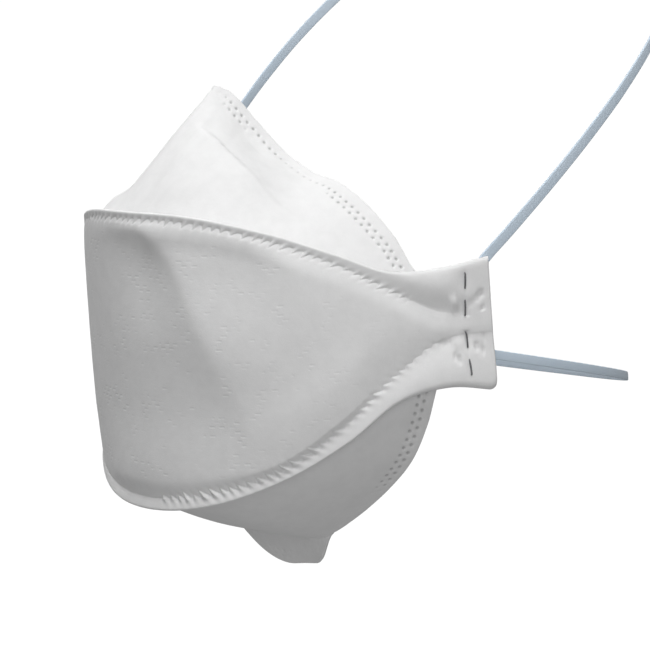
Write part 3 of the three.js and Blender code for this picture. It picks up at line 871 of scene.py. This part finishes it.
def make_strap(name, node, loop, settings, material):
    """Flat braid: a rounded band section with shallow ribs, carried along the loop with its width kept
    as upright as the path allows."""
    half = half_loop(loop)
    points = np.concatenate([half, (half[:-1] * [-1, 1, 1])[::-1]])
    path, run = smooth_path(points, STRAP_RINGS)
    tangent = unit(np.gradient(path, axis=0))
    across = unit(np.array([0.0, 0.0, 1.0]) - tangent * tangent[:, 2:])
    out = np.cross(tangent, across)
    width, depth = loop["breadth"] * settings.strap_width / MM, settings.strap_thickness / MM
    turn = -np.linspace(0, math.tau, STRAP_SIDES, endpoint=False)   # this way round, the faces point outwards
    place, bulge = squared_off(np.cos(turn), 0.62), squared_off(np.sin(turn), 0.42)
    ribs = RIB_HEIGHT * np.cos(place * math.pi * 5) * np.abs(bulge)
    sway = 0.04 * ripple(run, run * 0, 5, 40.0)[:, None]
    half_width = place * width / 2 * (1 + sway)
    half_depth = np.broadcast_to(bulge * (depth / 2 - RIB_HEIGHT) + ribs * np.sign(bulge), half_width.shape)
    rings = carried_profile(path - out * depth / 2, across, out, half_width, half_depth)
    uv = np.stack(np.broadcast_arrays(run[:, None], (place * width / 2)[None]), -1).reshape(-1, 2)
    piece = new_piece(name, rings.reshape(-1, 3), tube_faces(len(path), len(turn)), material, uv)
    finish_piece(piece, node)


def staple_path():
    """Staple wire's middle line as (out, up): the crown lies behind the strap, and two legs go out through
    the tab to two tips that turn towards each other and dip into the cloth. Corners are quarter circles."""
    radius, inside, outside = 0.40, -(WALL + GAP + STRAP_DEPTH + GAP + WIRE_HALF), WIRE_HALF_DEPTH
    end = STAPLE_CROWN / 2 - WIRE_HALF
    turn = np.linspace(0, math.pi / 2, 7)
    tip = np.linspace(0, 1, 8)
    straight = end - radius
    upper_tip = np.stack([outside - 0.5 * tip ** 3, straight - (STAPLE_TIP - radius) * tip], -1)
    outer_turn = np.stack([outside - radius + radius * np.cos(turn), straight + radius * np.sin(turn)], -1)
    inner_turn = np.stack([inside + radius - radius * np.sin(turn), straight + radius * np.cos(turn)], -1)
    upper = np.concatenate([upper_tip[::-1], outer_turn[1:], inner_turn])
    lower = upper[::-1] * [1, -1]
    return np.concatenate([upper, lower])


def cloth_height(along, z, settings):
    """Height that the staple's wire rests at over the front panel's face: the detail's height at the
    staple's two ends and its middle, with straight lines between them."""
    line = np.linspace(-TAB_END, TAB_END, COLUMNS)
    places = np.array([z.min(), (z.min() + z.max()) / 2, z.max()])
    columns, heights = np.broadcast_arrays(line[:, None], places[None])
    relief = front_relief(columns, heights, settings)
    return np.interp(z, places, relief[np.abs(line - along).argmin()]) + WIRE_HALF


def make_staples(cloth, settings):
    """Staple wire with a rounded flat section, carried along its bent path and set square to the tab."""
    material = steel_material(settings.steel_and_shade_colour)
    flat = staple_path()
    slope = unit(np.gradient(flat, axis=0))
    turn = np.linspace(0, math.tau, 12, endpoint=False) + math.pi / 12
    wide = squared_off(np.cos(turn), 0.5) * settings.wire_width / MM / 2
    deep = squared_off(np.sin(turn), 0.5) * WIRE_HALF_DEPTH
    for prefix, loop in (("crown", CROWN), ("neck", NECK)):
        along, height = loop["staple"]
        rest = cloth_height(along, height + flat[:, 1], cloth)
        lift = rest * np.clip((flat[:, 0] - flat[:, 0].min()) / np.ptp(flat[:, 0]), 0, 1)
        for side, sign in (("left", 1), ("right", -1)):
            place = np.array(sign * along)
            turn_to = heading(place)
            lean = -sign * loop["lean"]
            outwards = np.array([math.sin(turn_to), -math.cos(turn_to), 0.0])
            level = np.array([math.cos(turn_to), math.sin(turn_to), 0.0])
            up = np.array([0.0, 0.0, math.cos(lean)]) + level * math.sin(lean)
            sideways = level * math.cos(lean) - np.array([0.0, 0.0, math.sin(lean)])
            centre = on_front(place, 0.0, height)
            path = centre + (flat[:, :1] + lift[:, None]) * outwards + flat[:, 1:] * up
            normal = slope[:, 1:] * outwards - slope[:, :1] * up
            rings = carried_profile(path, sideways[None], normal, wide[None], deep[None])
            name = f"{prefix}_staple_wire_{side}"
            piece = new_piece(name, rings.reshape(-1, 3), tube_faces(len(path), len(turn)), material)
            finish_piece(piece, f"{prefix}_staple_{side}")


def finish_piece(piece, node):
    """Ties a finished piece to the one rigid body and hides the frame part that it stands for."""
    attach(piece, "root")
    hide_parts(node)


# ---- stage --------------------------------------------------------------------------------------

def area_light(name, direction, size, strength, distance=1.3):
    """Square soft light in a direction from the face seat, turned to face it. Its power is pi squared
    times strength times distance squared, so strength 1 lights a white surface square to it to white."""
    data = bpy.data.lights.new(name, "AREA")
    data.size, data.energy = size, math.pi ** 2 * strength * distance ** 2
    light = bpy.data.objects.new(name, data)
    light.location = Vector(direction).normalized() * distance
    light.rotation_euler = Vector(direction).to_track_quat("Z", "Y").to_euler()
    light.visible_camera = False
    bpy.context.scene.collection.objects.link(light)


def make_camera(stage):
    """Camera on a sphere round the origin, rolled about its own axis."""
    azimuth, elevation, roll = stage.azimuth, stage.elevation, stage.roll
    back = Vector((math.sin(azimuth) * math.cos(elevation), -math.cos(azimuth) * math.cos(elevation),
                   math.sin(elevation)))
    right = Vector((math.cos(azimuth), math.sin(azimuth), 0.0))
    up = back.cross(right)
    tilted_right = right * math.cos(roll) - up * math.sin(roll)
    tilted_up = right * math.sin(roll) + up * math.cos(roll)
    data = bpy.data.cameras.new("studio_camera")
    data.lens, data.sensor_width = stage.lens, 36.0
    data.shift_x, data.shift_y = stage.shift_x, stage.shift_y
    data.clip_start, data.clip_end = 0.05, 400.0
    camera = bpy.data.objects.new("studio_camera", data)
    turned = Matrix((tilted_right, tilted_up, back)).transposed().to_4x4()
    camera.matrix_world = Matrix.Translation(back * stage.distance) @ turned
    bpy.context.scene.collection.objects.link(camera)
    bpy.context.scene.camera = camera


def make_floor(stage):
    """Pale floor far below the held-up respirator; it shows white and throws no light back."""
    half = 120.0
    corners = np.array([(-half, -half, 0), (half, -half, 0), (half, half, 0), (-half, half, 0)]) / MM
    corners[:, 2] = stage.floor_height / MM
    nodes = Nodes("studio_floor")
    nodes.shader.inputs["Base Color"].default_value = (0.9, 0.9, 0.9, 1.0)
    nodes.shader.inputs["Roughness"].default_value = 0.9
    nodes.shader.inputs["Emission Color"].default_value = (1.0, 1.0, 1.0, 1.0)
    nodes.shader.inputs["Emission Strength"].default_value = 1.0
    floor = new_piece("studio_floor", corners, [np.array([[0, 1, 2, 3]])], nodes.material)
    floor.visible_diffuse = floor.visible_glossy = False


def make_world(stage):
    """Light thrown up by the surroundings from below the horizon, a little from above it, and a plain
    white view behind the respirator."""
    world = bpy.data.worlds.new("studio_world")
    world.use_nodes = True
    tree = world.node_tree
    seen, fill = tree.nodes["Background"], tree.nodes.new("ShaderNodeBackground")
    seen.inputs["Color"].default_value = (1.0, 1.0, 1.0, 1.0)
    place, split = tree.nodes.new("ShaderNodeTexCoord"), tree.nodes.new("ShaderNodeSeparateXYZ")
    level = tree.nodes.new("ShaderNodeMapRange")
    for socket, value in zip(level.inputs[1:], (-0.15, 0.15, stage.bounce, stage.sky)):
        socket.default_value = value
    path, mix = tree.nodes.new("ShaderNodeLightPath"), tree.nodes.new("ShaderNodeMixShader")
    for source, target in ((place.outputs["Generated"], split.inputs[0]),
                           (split.outputs["Z"], level.inputs[0]),
                           (level.outputs[0], fill.inputs["Strength"]),
                           (path.outputs["Is Camera Ray"], mix.inputs[0]), (fill.outputs[0], mix.inputs[1]),
                           (seen.outputs[0], mix.inputs[2]),
                           (mix.outputs[0], tree.nodes["World Output"].inputs["Surface"])):
        tree.links.new(source, target)
    bpy.context.scene.world = world


# ---- settings -----------------------------------------------------------------------------------

def length_setting(name, description, default):
    return FloatProperty(name=name, description=description, default=default, unit="LENGTH", precision=5)


def colour_setting(name, description, default):
    return FloatVectorProperty(name=name, description=description, default=default, subtype="COLOR",
                               min=0.0, max=1.0)


def strength_setting(name, description, default):
    return FloatProperty(name=name, description=description, default=default, min=0.0, subtype="FACTOR")


def angle_setting(name, description, degrees):
    return FloatProperty(name=name, description=description, default=math.radians(degrees),
                         subtype="ANGLE", unit="ROTATION")


class RespiratorCloth(bpy.types.PropertyGroup):
    wall: length_setting("Wall", "Thickness of each cloth panel", 1.5 * MM)
    rim_puff: length_setting("Rim puff", "Height of the front panel's puffed rims", 0.9 * MM)
    groove_depth: length_setting("Groove depth", "Extra depth of the welded line itself", 0.08 * MM)
    tooth_pitch: length_setting("Tooth pitch", "Distance between the weld's slanting teeth", 2.85 * MM)
    pore_pitch: length_setting("Pore pitch", "Distance between edge pores", 2.45 * MM)
    cloth_colour: colour_setting("Cloth colour", "White of the cover web", (0.90, 0.90, 0.90))


class RespiratorFittings(bpy.types.PropertyGroup):
    strap_width: length_setting("Strap width", "Width of a stretched strap", 2.8 * MM)
    strap_thickness: length_setting("Strap thickness", "Thickness of a stretched strap", 0.8 * MM)
    wire_width: length_setting("Wire width", "Width of the staple wire", 0.42 * MM)
    strap_colour: colour_setting("Strap colour", "Pale blue-grey of the braid", (0.655, 0.767, 0.875))
    # the staples' colour is partly dull steel and partly painted shade of the cloth groove they sit in
    steel_and_shade_colour: colour_setting("Steel colour", "Dull steel of the staples", (0.26, 0.26, 0.27))


class RespiratorStage(bpy.types.PropertyGroup):
    azimuth: angle_setting("Azimuth", "Camera's way round from straight ahead of the wearer", 49.8)
    elevation: angle_setting("Elevation", "Camera's height above level", 9.24)
    roll: angle_setting("Roll", "Camera's turn about its own axis", 4.17)
    distance: length_setting("Distance", "Camera's distance from the face seat", 0.9)
    lens: FloatProperty(name="Lens", description="Focal length", default=174.46, unit="CAMERA")
    shift_x: FloatProperty(name="Shift across", description="Share of the picture's width", default=0.0097)
    shift_y: FloatProperty(name="Shift up", description="Share of the picture's width", default=-0.004)
    floor_height: length_setting("Floor height", "Level of the floor", -1.2)
    key: strength_setting("Key light", "Strength of the high light", 0.895)
    left: strength_setting("Left light", "Strength of the high light on the wearer's right", 0.31)
    front: strength_setting("Front light", "Strength of the low light beside the camera", 0.22)
    bounce: strength_setting("Bounce", "Strength of the light from below", 0.37)
    sky: strength_setting("Sky", "Strength of the even light from above", 0.06)


# ---- operators ----------------------------------------------------------------------------------

class RESPIRATOR_OT_stage(bpy.types.Operator):
    """Make the camera, lights, white world and pale floor"""
    bl_idname = "respirator.stage"
    bl_label = "Stage"

    def execute(self, context):
        stage = context.scene.respirator_stage
        make_camera(stage)
        make_world(stage)
        make_floor(stage)
        area_light("key_light", (0.30, -0.15, 0.94), 0.9, stage.key)
        area_light("left_light", (-0.78, -0.10, 0.60), 0.8, stage.left)
        area_light("front_light", (0.75, -0.62, 0.20), 0.7, stage.front)
        context.scene.view_settings.view_transform = "Standard"
        return {"FINISHED"}


class RESPIRATOR_OT_straps(bpy.types.Operator):
    """Make the crown strap and the neck strap as whole loops"""
    bl_idname = "respirator.straps"
    bl_label = "Straps"

    def execute(self, context):
        settings = context.scene.respirator_fittings
        material = elastic_material(settings.strap_colour)
        make_strap("crown_braid", "crown_strap", CROWN, settings, material)
        make_strap("neck_braid", "neck_strap", NECK, settings, material)
        return {"FINISHED"}


class RESPIRATOR_OT_front_panel(bpy.types.Operator):
    """Make the front panel with its welds, puffed rims and tabs"""
    bl_idname = "respirator.front_panel"
    bl_label = "Front panel"

    def execute(self, context):
        piece = make_front_panel(context.scene.respirator_cloth)
        finish_piece(piece, "front_panel")
        return {"FINISHED"}


class RESPIRATOR_OT_nose_panel(bpy.types.Operator):
    """Make the nose panel with its crease and pores"""
    bl_idname = "respirator.nose_panel"
    bl_label = "Nose panel"

    def execute(self, context):
        piece = make_nose_panel(context.scene.respirator_cloth)
        finish_piece(piece, "nose_panel")
        return {"FINISHED"}


class RESPIRATOR_OT_chin_panel(bpy.types.Operator):
    """Make the chin panel with its pull tab and pores"""
    bl_idname = "respirator.chin_panel"
    bl_label = "Chin panel"

    def execute(self, context):
        piece = make_chin_panel(context.scene.respirator_cloth)
        finish_piece(piece, "chin_panel")
        return {"FINISHED"}


class RESPIRATOR_OT_staples(bpy.types.Operator):
    """Make the four staples"""
    bl_idname = "respirator.staples"
    bl_label = "Staples"

    def execute(self, context):
        make_staples(context.scene.respirator_cloth, context.scene.respirator_fittings)
        return {"FINISHED"}


OPERATORS = (RESPIRATOR_OT_stage, RESPIRATOR_OT_straps, RESPIRATOR_OT_front_panel, RESPIRATOR_OT_nose_panel,
             RESPIRATOR_OT_chin_panel, RESPIRATOR_OT_staples)
SETTINGS = {"respirator_cloth": RespiratorCloth, "respirator_fittings": RespiratorFittings,
            "respirator_stage": RespiratorStage}


class RESPIRATOR_PT_pieces(bpy.types.Panel):
    """Lists the respirator's pieces and their settings"""
    bl_idname = "RESPIRATOR_PT_pieces"
    bl_label = "Respirator"
    bl_space_type = "VIEW_3D"
    bl_region_type = "UI"
    bl_category = "Respirator"

    def draw(self, context):
        for operator in OPERATORS:
            self.layout.operator(operator.bl_idname)
        for name, group in SETTINGS.items():
            box = self.layout.box()
            for setting in group.__annotations__:
                box.prop(getattr(context.scene, name), setting)


def register():
    for cls in (*SETTINGS.values(), *OPERATORS, RESPIRATOR_PT_pieces):
        bpy.utils.register_class(cls)
    for name, group in SETTINGS.items():
        setattr(bpy.types.Scene, name, PointerProperty(type=group))


def unregister():
    for name in SETTINGS:
        delattr(bpy.types.Scene, name)
    for cls in reversed((*SETTINGS.values(), *OPERATORS, RESPIRATOR_PT_pieces)):
        bpy.utils.unregister_class(cls)


def main():
    """Build the whole respirator."""
    register()
    bpy.ops.respirator.stage()
    bpy.ops.respirator.straps()
    bpy.ops.respirator.front_panel()
    bpy.ops.respirator.nose_panel()
    bpy.ops.respirator.chin_panel()
    bpy.ops.respirator.staples()


if __name__ == "__main__":
    main()
